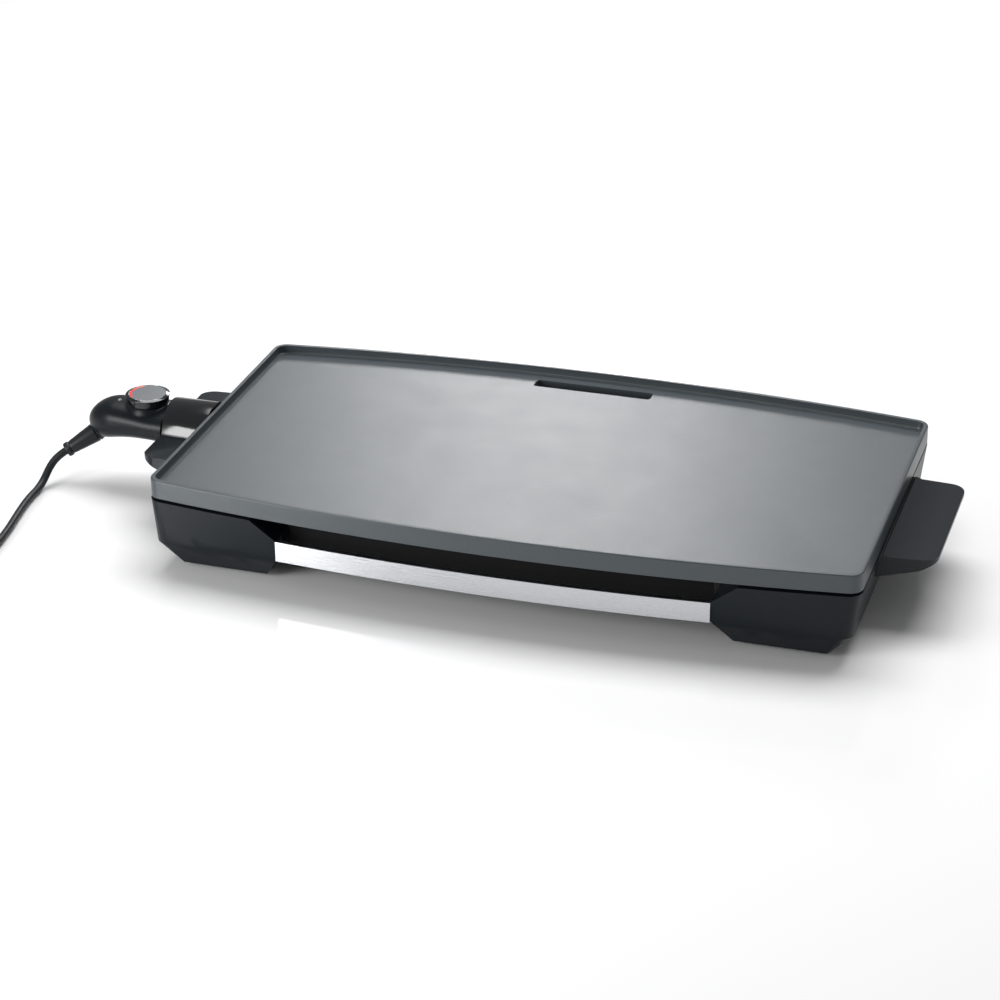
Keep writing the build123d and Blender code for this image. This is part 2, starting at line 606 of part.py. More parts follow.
PLUG_X = COIL_CENTRE[0] - outer_turn
PLUG_Y = COIL_CENTRE[1] + 58.0
PLUG_Z = 18.5
TAIL_ROUTE = [
    (PLUG_X, COIL_CENTRE[1], top_turn_z),
    (PLUG_X, COIL_CENTRE[1] + 19.0, top_turn_z),
    (PLUG_X, COIL_CENTRE[1] + 39.0, PLUG_Z),
    (PLUG_X, PLUG_Y, PLUG_Z),
]


def corner_radii(route):
    """0.45 of the shorter run beside each corner, over the tangent of half its turn."""
    points = [Vector(*p) for p in route]
    radii = []
    for before, corner, after in zip(points, points[1:], points[2:]):
        turn = (corner - before).get_angle(after - corner)
        shorter = min((corner - before).length, (after - corner).length)
        radii.append(0.45 * shorter / math.tan(math.radians(turn) / 2))
    return radii


def tube(route):
    """Round cord along a route of straight runs joined by tangent arcs."""
    radii = corner_radii(route)
    line = FilletPolyline(*route, radius=radii)
    solid = sweep(Plane(line @ 0, z_dir=line % 0) * Circle(CORD_DIAMETER / 2), path=line)
    section = math.pi * CORD_DIAMETER ** 2 / 4
    print("arc radii", [round(r, 1) for r in radii])
    print("length", round(line.length, 1), "volume ratio", round(solid.volume / (section * line.length), 4))
    return solid


def coil_tie():
    """Reusable strap round the bundle of turns, on the side away from the griddle."""
    x, y = COIL_CENTRE
    near = y - coil_outer
    far = y - coil_inner
    strap = box(x - 5, x + 5, near - TIE_GAUGE, far + TIE_GAUGE, 0, coil_top + TIE_GAUGE)
    return strap - box(x - 6, x + 6, near - 0.4, far + 0.4, TIE_GAUGE, coil_top)


node("power_cord_lead", tube(LEAD_ROUTE))
node("power_cord_tail", tube(TAIL_ROUTE))
coil = rod_z(*COIL_CENTRE, coil_outer, TIE_GAUGE, coil_top)
node("power_cord_coil", coil - rod_z(*COIL_CENTRE, coil_inner, 0, coil_top + 1))
node("coil_tie", coil_tie())


# ---------------------------------------------------------------- mains plug
PIN_ROOT = 2.0
PIN_OFFSET = 9.5


def rod_plug(radius, y0, y1, dx=0.0, dz=0.0):
    return rod_y(PLUG_X + dx, PLUG_Z + dz, radius, PLUG_Y + y0, PLUG_Y + y1)


def plug_body():
    """Round two-pin plug with side earth recesses, a shoulder and a tapered neck."""
    neck = loft([Plane.XZ.offset(-PLUG_Y) * Pos(PLUG_X, PLUG_Z) * Circle(5.2),
                 Plane.XZ.offset(-PLUG_Y - 24) * Pos(PLUG_X, PLUG_Z) * Circle(8.0)])
    shoulder = loft([Plane.XZ.offset(-PLUG_Y - 24) * Pos(PLUG_X, PLUG_Z) * Circle(12.0),
                     Plane.XZ.offset(-PLUG_Y - 32) * Pos(PLUG_X, PLUG_Z) * Circle(18.4)])
    body = neck + shoulder + rod_plug(18.4, 32, 52)
    for side in (-1, 1):
        recess = Pos(PLUG_X + side * 17.4, PLUG_Y + 44, PLUG_Z) * Box(3.4, 17, 6.4)
        body -= recess
        body -= rod_plug(PIN_ROOT + 0.02, 46, 53, dx=side * PIN_OFFSET)
    return body


def plug_earth_clip(side):
    """Spring contact lying in the recess on one side of the plug."""
    return Pos(PLUG_X + side * 16.2, PLUG_Y + 44, PLUG_Z) * Box(1.0, 15.8, 5.4)


node("plug_body", plug_body())
def plug_pin(side):
    """Round pin, a little thinner where it is moulded into the plug."""
    return rod_plug(PIN_ROOT, 46, 52, dx=side * PIN_OFFSET) + rod_plug(2.4, 52, 71, dx=side * PIN_OFFSET)


node("plug_pins", along(plug_pin(side) for side in (-1, 1)))
node("plug_earth_clips", along(plug_earth_clip(side) for side in (-1, 1)))

# ---------------------------------------------------------------- write every node
for name, shape in NODES.items():
    export_step(Pos(CENTRE_SHIFT, 0, 0) * shape, "parts/" + name + ".step")
print(len(NODES), "nodes, shifted by", CENTRE_SHIFT)
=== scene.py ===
import json
import math

import bmesh
import bpy
import numpy as np
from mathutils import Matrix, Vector


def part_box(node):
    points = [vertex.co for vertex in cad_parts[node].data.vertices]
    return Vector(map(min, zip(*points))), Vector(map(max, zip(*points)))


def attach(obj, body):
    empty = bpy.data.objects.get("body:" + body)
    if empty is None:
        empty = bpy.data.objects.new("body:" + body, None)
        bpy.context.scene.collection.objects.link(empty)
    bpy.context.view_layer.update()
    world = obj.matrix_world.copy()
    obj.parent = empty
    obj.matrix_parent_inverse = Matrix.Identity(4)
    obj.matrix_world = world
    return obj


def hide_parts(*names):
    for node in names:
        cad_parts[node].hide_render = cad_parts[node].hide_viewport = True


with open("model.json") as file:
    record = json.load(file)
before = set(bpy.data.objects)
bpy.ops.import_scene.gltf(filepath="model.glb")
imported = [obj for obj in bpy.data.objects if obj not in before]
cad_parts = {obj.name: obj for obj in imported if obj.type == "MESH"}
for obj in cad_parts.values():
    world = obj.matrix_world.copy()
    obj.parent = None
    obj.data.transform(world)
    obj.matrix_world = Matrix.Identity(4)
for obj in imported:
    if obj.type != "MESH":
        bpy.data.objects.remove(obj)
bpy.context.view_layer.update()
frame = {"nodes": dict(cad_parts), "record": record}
MM = 0.001


# ---------------------------------------------------------------- camera and studio
# A white studio with three soft boxes: a small one behind the griddle that lies as a sheen on the
# plate, a large one overhead and to the rear, and one low at the left front for the steel strip.
lens = bpy.data.cameras.new("studio_camera")
lens.lens = 105.54
lens.sensor_width = 36.0
camera = bpy.data.objects.new("studio_camera", lens)
camera.location = (0.6374, -1.9952, 1.0632)
camera.rotation_euler = [math.radians(a) for a in (63.644, 0.477, 17.558)]
bpy.context.scene.collection.objects.link(camera)
bpy.context.scene.camera = camera
bpy.context.scene.view_settings.view_transform = "Standard"

studio_air = bpy.data.worlds.new("studio_air")
studio_air.use_nodes = True
studio_air.node_tree.nodes["Background"].inputs["Color"].default_value = (1.0, 1.0, 1.0, 1.0)
studio_air.node_tree.nodes["Background"].inputs["Strength"].default_value = 0.26
bpy.context.scene.world = studio_air


def soft_box(name, place, target, size, power):
    """A rectangular lamp that faces a target."""
    lamp = bpy.data.lights.new(name, "AREA")
    lamp.shape = "RECTANGLE"
    lamp.size, lamp.size_y = size
    lamp.energy = power
    box = bpy.data.objects.new(name, lamp)
    box.location = place
    box.rotation_euler = (Vector(target) - Vector(place)).to_track_quat("-Z", "Y").to_euler()
    bpy.context.scene.collection.objects.link(box)


soft_box("rear_box", (-0.56, 2.0, 0.98), (0.0, 0.0, 0.07), (0.5, 0.4), 10)
soft_box("overhead_box", (0.0, 0.9, 2.2), (0.0, 0.1, 0.0), (2.4, 1.4), 64)
soft_box("left_front_box", (-1.0, -1.15, 0.45), (-0.2, -0.1, 0.05), (0.6, 0.7), 17)


# ---------------------------------------------------------------- mains lead
# Round black rubber-sheathed flex from the control's sleeve, down on to the table and along it to a
# coil of four and a half turns, wound in two layers of three, that ends in the moulded plug.
class Signal:
    """One number in a material, held by a node's socket: an arithmetic sign adds its Math node."""

    def __init__(self, finish, socket):
        self.finish = finish
        self.socket = socket

    def maths(self, operation, *others):
        return self.finish.add("ShaderNodeMath", {"operation": operation}, dict(enumerate((self, *others))))

    def __add__(self, other):
        return self.maths("ADD", other)

    def __mul__(self, other):
        return self.maths("MULTIPLY", other)

    def __sub__(self, other):
        return self.maths("SUBTRACT", other)

    def __rsub__(self, other):
        return self.maths("MULTIPLY", -1.0) + other

    def above(self, level, width):
        """0 below a level and 1 above it, with a soft step as wide as given."""
        ramp = {0: self, 1: level - width / 2, 2: level + width / 2, 3: 0.0, 4: 1.0}
        return self.finish.add("ShaderNodeMapRange", {"interpolation_type": "SMOOTHSTEP"}, ramp)

    __radd__ = __add__
    __rmul__ = __mul__


class Finish:
    """A material for one kind of surface, with the few nodes that its grain, colour and wear need."""

    def __init__(self, name, colour, roughness, metallic=0.0, **constants):
        self.material = bpy.data.materials.new(name)
        self.material.use_nodes = True
        self.tree = self.material.node_tree
        self.shader = self.tree.nodes["Principled BSDF"]
        self.shader.inputs["Base Color"].default_value = (*colour, 1.0)
        self.shader.inputs["Roughness"].default_value = roughness
        self.shader.inputs["Metallic"].default_value = metallic
        for socket, value in constants.items():
            self.shader.inputs[socket.replace("_", " ")].default_value = value
        self.place = self.add("ShaderNodeTexCoord", output="Object")

    def add(self, kind, settings=None, sockets=None, output=0):
        """Any node: its type, its settings, then the values or links of its sockets."""
        made = self.tree.nodes.new(kind)
        for setting, value in (settings or {}).items():
            setattr(made, setting, value)
        for socket, value in (sockets or {}).items():
            self.feed(value, made.inputs[socket])
        return Signal(self, made.outputs[output])

    def feed(self, value, socket):
        """A link where the value comes from a node, and otherwise the socket's own value."""
        if isinstance(value, Signal):
            self.tree.links.new(value.socket, socket)
        else:
            socket.default_value = value

    def noise(self, scale, detail=2.0, stretch=(1.0, 1.0, 1.0), kind="ShaderNodeTexNoise"):
        """Grain of a given number of cells to the metre, drawn out along one direction."""
        where = self.add("ShaderNodeMapping", {}, {"Vector": self.place, "Scale": stretch})
        sockets = {"Vector": where, "Scale": scale}
        if kind == "ShaderNodeTexNoise":
            sockets["Detail"] = detail
        return self.add(kind, {}, sockets)

    def blend(self, share, colour, other):
        """A colour between two others."""
        sockets = {0: share, 6: colour, 7: other}
        return self.add("ShaderNodeMix", {"data_type": "RGBA"}, sockets, output=2)

    def use(self, socket, value):
        self.feed(value, self.shader.inputs[socket])

    def emboss(self, height, depth):
        """Relief of a given depth in metres."""
        self.use("Normal", self.add("ShaderNodeBump", {}, {"Distance": depth, "Height": height}))


def dress(piece, finish):
    piece.data.materials.clear()
    piece.data.materials.append(finish.material)


CORD_DIAMETER = 6.5 * MM
COIL_CENTRE = (-0.41725, -0.204)
TURN_OUTER = 42.75 * MM
TURN_INNER = 29.75 * MM
LAYER_LOW = 4.25 * MM
LAYER_HIGH = 10.75 * MM
POINTS_PER_TURN = 16
lead_route = [
    (-0.3732, -0.0181, 0.0270),
    (-0.3784, -0.0215, 0.0237),
    (-0.3842, -0.0271, 0.0164),
    (-0.3870, -0.0413, 0.00325),
    (-0.3867, -0.0669, 0.00325),
    (-0.3825, -0.0950, 0.00325),
    (-0.3765, -0.1290, 0.00325),
    (-0.3738, -0.1670, 0.00375),
]
plug_route = [
    (-0.4600, -0.1850, 0.01075),
    (-0.4600, -0.1650, 0.0185),
    (-0.4600, -0.1460, 0.0185),
]


def coil_points():
    """Two turns inwards on the table, half a turn climbing, and two turns outwards on top.

    The control points stand outside the turns, because the curve cuts inside its corners.
    """
    turns = np.arange(0.0, 4.5 + 0.5 / POINTS_PER_TURN, 1.0 / POINTS_PER_TURN)
    radius = np.interp(turns, (0.0, 2.0, 2.5, 4.5), (TURN_OUTER, TURN_INNER, TURN_INNER, TURN_OUTER))
    radius /= 0.75 + 0.25 * math.cos(2 * math.pi / POINTS_PER_TURN)
    climb = np.clip((turns - 2.0) / 0.5, 0.0, 1.0)
    height = LAYER_LOW + (LAYER_HIGH - LAYER_LOW) * climb * climb * (3 - 2 * climb)
    across = COIL_CENTRE[0] + radius * np.cos(2 * math.pi * turns)
    along = COIL_CENTRE[1] - radius * np.sin(2 * math.pi * turns)
    return [tuple(point) for point in np.stack([across, along, height], -1)]


def cord_curve(name, points, diameter):
    """One open spline with the route's points as its control points, and a round section."""
    curve = bpy.data.curves.new(name, "CURVE")
    curve.dimensions = "3D"
    spline = curve.splines.new("NURBS")
    spline.points.add(len(points) - 1)
    spline.points.foreach_set("co", [value for point in points for value in (*point, 1.0)])
    spline.order_u = 3
    spline.use_endpoint_u = True
    spline.resolution_u = 6
    curve.bevel_depth = diameter / 2
    curve.bevel_resolution = 5
    curve.use_fill_caps = True
    piece = bpy.data.objects.new(name, curve)
    bpy.context.scene.collection.objects.link(piece)
    return piece


jacket = Finish("cord_jacket", (0.012, 0.014, 0.016), 0.42, Specular_IOR_Level=0.3)
jacket.use("Roughness", 0.36 + 0.14 * jacket.noise(900.0))
jacket.emboss(jacket.noise(2600.0), 0.04 * MM)
mains_lead = cord_curve("mains_lead", lead_route + coil_points() + plug_route, CORD_DIAMETER)
dress(mains_lead, jacket)
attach(mains_lead, "control")
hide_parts("power_cord_lead", "power_cord_coil", "power_cord_tail")


# ---------------------------------------------------------------- sleeve at the control
# Soft rubber sleeve moulded over the lead: a collar held in the housing, a groove, a long taper and
# a rolled lip. It keeps the lead from kinking where it leaves the housing.
def rounded(corners, radii, steps=6):
    """Open outline through the corners, each one replaced by an arc of equal turns.

    An arc starts and ends the same distance from its corner, which is its radius times the tangent
    of half the turn, and its points are spaced evenly round its centre.
    """
    points = [np.array(corners[0], float)]
    for before, corner, after, radius in zip(corners, corners[1:], corners[2:], radii):
        corner = np.array(corner, float)
        arriving = corner - before
        arriving /= np.linalg.norm(arriving)
        leaving = np.array(after, float) - corner
        leaving /= np.linalg.norm(leaving)
        turn = math.acos(np.clip(arriving @ leaving, -1.0, 1.0))
        if radius <= 0 or turn < 0.01:
            points.append(corner)
            continue
        reach = radius * math.tan(turn / 2)
        inward = leaving - arriving
        inward /= np.linalg.norm(inward)
        centre = corner + inward * (radius / math.cos(turn / 2))
        first = corner - arriving * reach - centre
        last = corner + leaving * reach - centre
        share = np.linspace(0.0, 1.0, steps + 1)[:, None]
        arc = np.sin((1 - share) * turn) * first + np.sin(share * turn) * last
        points.extend(centre + arc / math.sin(turn))
    points.append(np.array(corners[-1], float))
    return np.array(points)


def turned(start, axis, profile, steps=96):
    """Grid of a shape turned on a lathe: a profile of (distance, radius) carried round an axis."""
    axis = np.array(axis, float)
    axis /= np.linalg.norm(axis)
    side = np.cross(axis, (0.0, 0.0, 1.0) if abs(axis[2]) < 0.9 else (1.0, 0.0, 0.0))
    side /= np.linalg.norm(side)
    angle = np.linspace(0.0, 2 * math.pi, steps + 1)
    round_it = np.cos(angle)[:, None] * side + np.sin(angle)[:, None] * np.cross(axis, side)
    distance, radius = profile[:, 0], profile[:, 1]
    return np.array(start) + distance[:, None, None] * axis + radius[:, None, None] * round_it


def surface(name, finish, body, slot, *grids, crease=35.0):
    """A piece made of grids of points, each (rows, columns, 3), joined up as quads.

    Seams and poles are welded, faces are turned outwards, and edges sharper than the crease stay
    crisp.
    """
    points, quads, start = [], [], 0
    for grid in grids:
        rows, columns = grid.shape[:2]
        corner = start + np.arange(rows - 1)[:, None] * columns + np.arange(columns - 1)
        quad = np.stack([corner, corner + 1, corner + columns + 1, corner + columns], -1)
        quads.append(quad.reshape(-1, 4))
        points.append(grid.reshape(-1, 3))
        start += rows * columns
    mesh = bpy.data.meshes.new(name)
    mesh.from_pydata(np.concatenate(points).tolist(), [], np.concatenate(quads).tolist())
    return finished(name, mesh, finish, body, crease)


def finished(name, mesh, finish, body, crease):
    """Welds a mesh, turns its faces outwards, shades it smooth up to the crease and places it."""
    work = bmesh.new()
    work.from_mesh(mesh)
    bmesh.ops.remove_doubles(work, verts=work.verts, dist=2e-6)
    bmesh.ops.dissolve_degenerate(work, edges=work.edges, dist=1e-7)
    bmesh.ops.recalc_face_normals(work, faces=work.faces)
    for face in work.faces:
        face.smooth = True
    for edge in work.edges:
        if len(edge.link_faces) == 2 and edge.calc_face_angle(0.0) > math.radians(crease):
            edge.smooth = False
    work.to_mesh(mesh)
    work.free()
    piece = bpy.data.objects.new(name, mesh)
    bpy.context.scene.collection.objects.link(piece)
    dress(piece, finish)
    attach(piece, body)
    return piece


SLEEVE_LENGTH = 31.0 * MM
sleeve_tip = np.array(lead_route[0])
sleeve_axis = np.array(lead_route[1]) - sleeve_tip
sleeve_axis /= np.linalg.norm(sleeve_axis)
sleeve_start = sleeve_tip - sleeve_axis * SLEEVE_LENGTH
sleeve_profile = rounded(
    [(-6.0, 0.0), (-6.0, 6.6), (1.4, 8.2), (1.4, 7.3), (2.4, 7.3), (2.4, 8.1), (25.6, 5.6), (26.3, 5.0),
     (27.0, 6.3), (31.0, 6.0), (31.0, 3.2), (28.0, 3.2), (28.0, 0.0)],
    [0.0, 0.3, 0.3, 0.3, 0.6, 4.0, 0.6, 1.2, 1.1, 0.5, 0.0]) * MM
sleeve_rubber = Finish("sleeve_rubber", (0.012, 0.014, 0.016), 0.40, Specular_IOR_Level=0.3)
sleeve_rubber.use("Roughness", 0.34 + 0.14 * sleeve_rubber.noise(700.0))
sleeve_rubber.emboss(sleeve_rubber.noise(3200.0), 0.03 * MM)
sleeve = surface("lead_sleeve", sleeve_rubber, "control", "soft_rubber",
                 turned(sleeve_start, sleeve_axis, sleeve_profile, steps=48))
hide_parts("cable_relief")


# ---------------------------------------------------------------- housing of the control
# Two satin black mouldings, a deep upper shell with a raised neck under the knob and a shallow
# bottom pan, screwed together from below. They swell to a dome and droop towards the sleeve.
KNOB_AXIS = (-304.7, 0.0)
HOOD_JOINT = -283.8
DOME_START = -331.0
DOME_LENGTH = 26.2
NECK_TOP = 72.4
NECK_RADIUS = 15.4


def flowing(at, keys, values):
    """A smooth curve through key values: cubic stretches that share their slopes at the keys."""
    keys, values = np.array(keys, float), np.array(values, float)
    slopes = np.gradient(values, keys)
    place = np.clip(np.searchsorted(keys, at) - 1, 0, len(keys) - 2)
    span = keys[place + 1] - keys[place]
    t = (at - keys[place]) / span
    low, high = values[place], values[place + 1]
    return (low * (1 + 2 * t) * (1 - t) ** 2 + slopes[place] * span * t * (1 - t) ** 2
            + high * t * t * (3 - 2 * t) + slopes[place + 1] * span * t * t * (t - 1))


def housing_grid(inset=0.0, stations=150, steps=160):
    """Sections across the control, from the joint with the hood to the tip of the dome.

    Each section is a rounded loop between a top and a bottom height. Up to the dome they follow
    smooth curves, then all three shrink with the cosine of an angle towards the dome's tip. The neck
    is a flare round the knob's axis that the upper side is lifted to, with a soft root.
    """
    share = np.linspace(0.0, 1.0, stations)
    angle = np.clip((share - 0.5) / 0.5, 0.0, 1.0) * math.pi / 2
    along = np.where(share < 0.5, HOOD_JOINT + (DOME_START - HOOD_JOINT) * share / 0.5,
                     DOME_START - DOME_LENGTH * np.sin(angle))
    top = flowing(along, (-360, -345, -331, -315, -300, HOOD_JOINT), (71, 71.6, 71.8, 71.3, 70.6, 71.4))
    bottom = flowing(along, (-360, -345, -331, -315, -300, HOOD_JOINT), (36, 36.6, 40.2, 42.6, 43.4, 43.2))
    half = flowing(along, (-360, -345, -331, -315, -300, HOOD_JOINT), (18, 19.5, 21.0, 22.6, 24.4, 26.2))
    shrink = np.cos(angle)
    tip_height = 51.5
    squareness = 2.35
    middle = np.where(angle > 0, tip_height + ((top + bottom) / 2 - tip_height) * shrink, (top + bottom) / 2)
    tall = (top - bottom) / 2 * shrink - inset
    wide = half * shrink ** 0.9 - inset
    around = np.linspace(0.0, 2 * math.pi, steps + 1)
    cosine, sine = np.cos(around), np.sin(around)
    power = 2 / squareness
    across = np.sign(cosine) * np.abs(cosine) ** power * np.maximum(wide, 0.0)[:, None]
    height = middle[:, None] + np.sign(sine) * np.abs(sine) ** power * np.maximum(tall, 0.0)[:, None]
    along = np.repeat(along[:, None], steps + 1, 1)
    reach = np.hypot(along - KNOB_AXIS[0], across - KNOB_AXIS[1])
    flare = NECK_TOP - np.clip(reach - NECK_RADIUS, 0.0, None) ** 1.35 * 1.15
    softness = 1.2
    lifted = (height + flare + np.sqrt((height - flare) ** 2 + softness ** 2)) / 2
    height = np.where((height > middle[:, None]) & (inset == 0), np.minimum(lifted, NECK_TOP + 0.3), height)
    return np.stack([along, across, height], -1) * MM


satin = Finish("control_satin", (0.006, 0.008, 0.010), 0.30, Specular_IOR_Level=0.2)
satin.use("Roughness", 0.28 + 0.12 * satin.noise(500.0, 3.0))
satin.emboss(satin.noise(4200.0, 1.0), 0.02 * MM)
housing = surface("control_housing", satin, "control", "control_plastic", housing_grid())
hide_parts("control_upper_shell", "control_lower_shell", "knob_collar")


# ---------------------------------------------------------------- temperature knob
# Polished black cap with a drawn metal bead round its crown, turned on a flatted steel spindle. A
# printed disc in the crown carries the heat scale.
KNOB_CENTRE = np.array([KNOB_AXIS[0], 0.0, 0.0]) * MM
gloss = Finish("polished_black", (0.006, 0.007, 0.008), 0.12, Specular_IOR_Level=0.6)
gloss.use("Roughness", 0.10 + 0.06 * gloss.noise(160.0))
cloud = gloss.noise(60.0)
gloss.use("Base Color", gloss.blend(cloud, (0.005, 0.006, 0.007, 1.0), (0.008, 0.009, 0.010, 1.0)))
gloss.emboss(gloss.noise(90.0), 0.01 * MM)
knob_profile = rounded(
    [(74.6, 0.0), (74.6, 15.6), (72.9, 15.6), (72.9, 17.0), (79.3, 18.4), (80.2, 15.6), (80.2, 15.3),
     (79.5, 15.2), (79.5, 0.0)],
    [0.0, 0.4, 0.5, 0.5, 0.1, 0.1, 0.0]) * MM
knob = surface("knob_cap", gloss, "knob", "gloss_black", turned(KNOB_CENTRE, (0, 0, 1), knob_profile))
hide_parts("temperature_knob")

bead = Finish("drawn_bead", (0.62, 0.63, 0.65), 0.16, 1.0)
bead.use("Roughness", 0.12 + 0.1 * bead.noise(900.0))
bead_corners = [(79.9, 15.65), (80.3, 15.65), (80.3, 15.25), (79.9, 15.25), (79.9, 15.65)]
bead_profile = rounded(bead_corners, [0.1] * 3) * MM
surface("knob_bead", bead, "knob", "screw_steel", turned(KNOB_CENTRE, (0, 0, 1), bead_profile))

dial = Finish("dial_print", (0.13, 0.14, 0.15), 0.38)
centred = dial.add("ShaderNodeMapping", {}, {"Vector": dial.place, "Location": (-KNOB_CENTRE[0], 0.0, 0.0)})
split = dial.add("ShaderNodeSeparateXYZ", {}, {"Vector": centred})
dial_x, dial_y = split, Signal(dial, split.socket.node.outputs[1])
level = dial.add("ShaderNodeVectorMath", {"operation": "MULTIPLY"}, {0: centred, 1: (1.0, 1.0, 0.0)})
ring = dial.add("ShaderNodeVectorMath", {"operation": "LENGTH"}, {0: level}, output=1)
bearing = dial.add("ShaderNodeMath", {"operation": "ARCTAN2"}, {0: dial_y, 1: dial_x})
turn = dial.add("ShaderNodeMath", {"operation": "FLOORED_MODULO"},
                {0: bearing - math.radians(125.0), 1: 2 * math.pi})
band = ring.above(12.9 * MM, 0.25 * MM) * (1 - ring.above(14.7 * MM, 0.25 * MM))
arc = band * (1 - turn.above(math.radians(105.0), 0.02))
warm = dial.blend(turn.above(math.radians(30.0), 0.9), (0.85, 0.16, 0.10, 1.0), (0.80, 0.03, 0.03, 1.0))
speck = 0.5 + 0.5 * dial.noise(2500.0)
grey = dial.blend(speck, (0.115, 0.125, 0.135, 1.0), (0.15, 0.16, 0.17, 1.0))
dial.use("Base Color", dial.blend(arc, grey, warm))
dial.use("Roughness", 0.34 + 0.12 * dial.noise(1500.0))
disc_profile = rounded([(79.4, 0.0), (79.4, 15.2), (80.1, 15.2), (80.15, 0.0)], [0.0, 0.3]) * MM
disc = surface("scale_disc", dial, "knob", "dial_print", turned(KNOB_CENTRE, (0, 0, 1), disc_profile))
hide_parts("knob_dial")


# ---------------------------------------------------------------- hood over the terminals
# Arched hood moulded in polished black, screwed to the plate's lug. The control's contact block
# slides into it and its front edge meets the housing.
HOOD_AXIS = 50.2
HOOD_RADIUS = 27.0


def arch(radius, foot, steps=64):
    """Outline of a hood: straight legs, a half circle on top, and small rounds at the feet."""
    angle = np.linspace(0.0, math.pi, steps)
    top = np.stack([radius * np.cos(angle), HOOD_AXIS + radius * np.sin(angle)], -1)
    legs = rounded([(-radius, HOOD_AXIS), (-radius, foot), (radius, foot), (radius, HOOD_AXIS)], [2.5, 2.5])
    return np.concatenate([top, legs[1:]])


def hood_grid():
    """The outline swept along the hood, out over its rounded lip and back inside to the end wall."""
    path = [(-245.8, 0.0), (-282.4, 0.0), (-283.2, 0.35), (-283.5, 1.1), (-283.2, 1.9), (-282.4, 2.4),
            (-247.8, 2.4)]
    rings = []
    for along, inset in path:
        outline = arch(HOOD_RADIUS - inset, 39.0 + inset)
        rings.append(np.concatenate([np.full((len(outline), 1), along), outline], 1))
    rings = np.array(rings)
    cap = rings[:1] * (1, 0, 0) + (0, 0, HOOD_AXIS)
    floor = rings[-1:] * (1, 0, 0) + (0, 0, HOOD_AXIS)
    return np.concatenate([cap * np.ones_like(rings[:1]), rings, floor * np.ones_like(rings[:1])]) * MM


hood = surface("terminal_hood", gloss, "root", "gloss_black", hood_grid())
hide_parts("socket_shroud")


# ---------------------------------------------------------------- cast plate
# Die-cast aluminium plate with a rim all round, ribs for the element underneath and a slot near the
# rear rim that lets the fat into the tray. Its non-stick coating is a fine-grained satin with faint
# lengthwise marks from the die.
def refined(node, name, finish, edge=0.0, segments=2, crease=35.0):
    """A CAD node's own form as one welded skin with softened edges, in that node's place."""
    source = frame["nodes"][node]
    mesh = source.data.copy()
    mesh.name = name
    mesh.materials.clear()
    work = bmesh.new()
    work.from_mesh(mesh)
    bmesh.ops.remove_doubles(work, verts=work.verts, dist=2e-6)
    bmesh.ops.dissolve_limit(work, angle_limit=math.radians(0.3), verts=work.verts, edges=work.edges)
    work.to_mesh(mesh)
    work.free()
    body = next(b for b, members in frame["record"]["behaviour"]["bodies"].items() if node in members)
    mesh.shade_smooth()
    mesh.set_sharp_from_angle(angle=math.radians(crease))
    piece = bpy.data.objects.new(name, mesh)
    bpy.context.scene.collection.objects.link(piece)
    dress(piece, finish)
    if edge:
        bevel = piece.modifiers.new("softened_edges", "BEVEL")
        bevel.width = edge
        bevel.segments = segments
        bevel.limit_method = "ANGLE"
        bevel.angle_limit = math.radians(crease)
        bevel.harden_normals = True
    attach(piece, body)
    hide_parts(node)
    return piece


coating = Finish("plate_coating", (0.060, 0.066, 0.072), 0.34, Specular_IOR_Level=0.6)
grain = coating.noise(1500.0, 3.0)
coating.use("Roughness", 0.30 + 0.08 * coating.noise(40.0, 4.0) + 0.06 * grain)
coating.use("Base Color", coating.blend(grain, (0.036, 0.046, 0.053, 1.0), (0.060, 0.073, 0.083, 1.0)))
die_marks = coating.noise(1.0, 3.0, stretch=(120.0, 900.0, 1400.0))
coating.emboss(0.6 * grain + 0.4 * die_marks, 0.16 * MM)
refined("griddle_plate", "cast_plate", coating, edge=0.4 * MM)


# ---------------------------------------------------------------- end frames
# Two heat-proof black mouldings that carry the plate on posts. Each is a skirt that leans in towards
# the table, with chamfered blocks at the front and the rear.
moulding = Finish("frame_moulding", (0.006, 0.009, 0.012), 0.46, Specular_IOR_Level=0.22)
pebble = moulding.noise(2200.0, 2.0)
moulding.use("Roughness", 0.32 + 0.12 * pebble)
moulding.emboss(pebble, 0.06 * MM)
for side in ("left", "right"):
    refined(side + "_end_frame", side + "_skirt", moulding, edge=0.8 * MM, segments=3)


# ---------------------------------------------------------------- steel strips
# Stainless channels, brushed lengthwise and bowed like the plate, screwed to the frames' blocks.
brushed = Finish("brushed_strip", (0.66, 0.67, 0.69), 0.26, 1.0)
strokes = brushed.noise(1.0, 3.0, stretch=(14.0, 900.0, 2600.0))
brushed.use("Roughness", 0.20 + 0.16 * strokes)
brushed.use("Base Color", brushed.blend(strokes, (0.50, 0.51, 0.53, 1.0), (0.62, 0.63, 0.65, 1.0)))
brushed.emboss(strokes, 0.015 * MM)
for side in ("front", "rear"):
    refined(side + "_trim_strip", side + "_strip", brushed, edge=0.25 * MM)


# ---------------------------------------------------------------- carrying grips
# Flat mouldings with a satin top that rise a little outwards, screwed to the skirts from inside.
grip_satin = Finish("grip_satin", (0.010, 0.013, 0.016), 0.26, Specular_IOR_Level=0.3)
grip_satin.use("Roughness", 0.20 + 0.10 * grip_satin.noise(900.0, 3.0))
grip_satin.emboss(grip_satin.noise(3000.0), 0.02 * MM)
for node in ("right_grip", "left_grip_front", "left_grip_rear"):
    refined(node, node + "_moulding", grip_satin, edge=0.8 * MM, segments=3)


